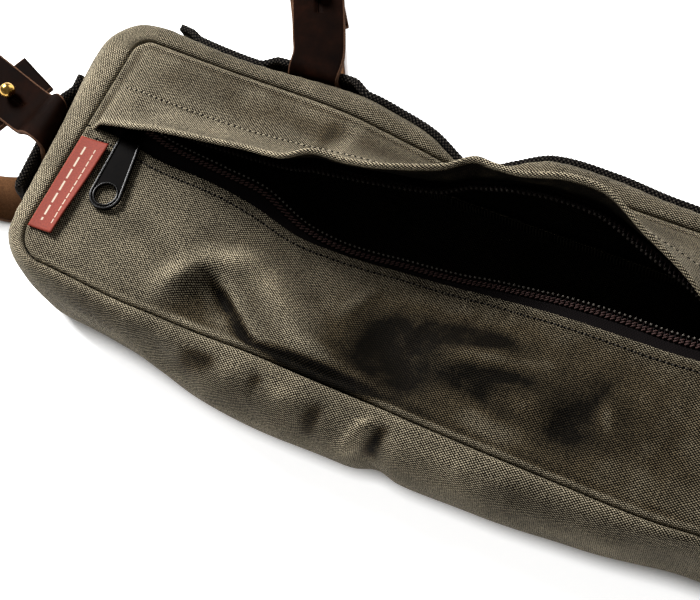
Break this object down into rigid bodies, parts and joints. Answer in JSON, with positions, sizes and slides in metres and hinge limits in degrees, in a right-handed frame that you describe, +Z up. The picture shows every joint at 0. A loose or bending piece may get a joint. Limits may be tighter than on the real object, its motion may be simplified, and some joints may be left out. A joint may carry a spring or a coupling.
{
  "type": "canvas tube bag",
  "caption": "Soft waxed-canvas bag lying on its back with an open zip mouth under a rain flap, webbing sides and leather strap loops with ball studs.",
  "frame": {"origin": "centre of the back panel, on the surface the bag lies on", "axes": "+X along the bag away from the zip pull, +Y towards the long webbing, +Z up out of the zip mouth"},
  "size_m": [0.4115, 0.2227, 0.0969],
  "materials": {
    "waxed_canvas": "waxed plain weave",
    "zip_tape": "woven tape",
    "zip_coil": "moulded coil",
    "black_metal": "black enamel",
    "black_pull": "glossy black",
    "label_cloth": "woven label",
    "webbing": "cotton webbing",
    "leather": "smooth bridle leather, suede flesh side",
    "brass": "polished"
  },
  "bodies": {
    "bag": {"gusset": "waxed_canvas", "back_panel": "waxed_canvas", "lower_panel": "waxed_canvas", "upper_panel": "waxed_canvas", "zip_tape_lower": "zip_tape", "zip_tape_upper": "zip_tape", "zip_coil_lower": "zip_coil", "zip_coil_upper": "zip_coil", "zip_slider": "black_metal", "label": "label_cloth", "webbing_top": "webbing", "webbing_end": "webbing", "end_strap": "leather", "end_stud": "brass", "top_strap": "leather", "top_stud": "brass"},
    "zip_pull": {"zip_pull": "black_pull"}
  },
  "joints": [
    {"name": "pull_hinge", "type": "hinge", "parent": "bag", "child": "zip_pull", "pos_m": [-0.1342, 0.0173, 0.05605], "axis": [-0.9947, -0.1028, 0], "range_deg": [0, 20]}
  ]
}
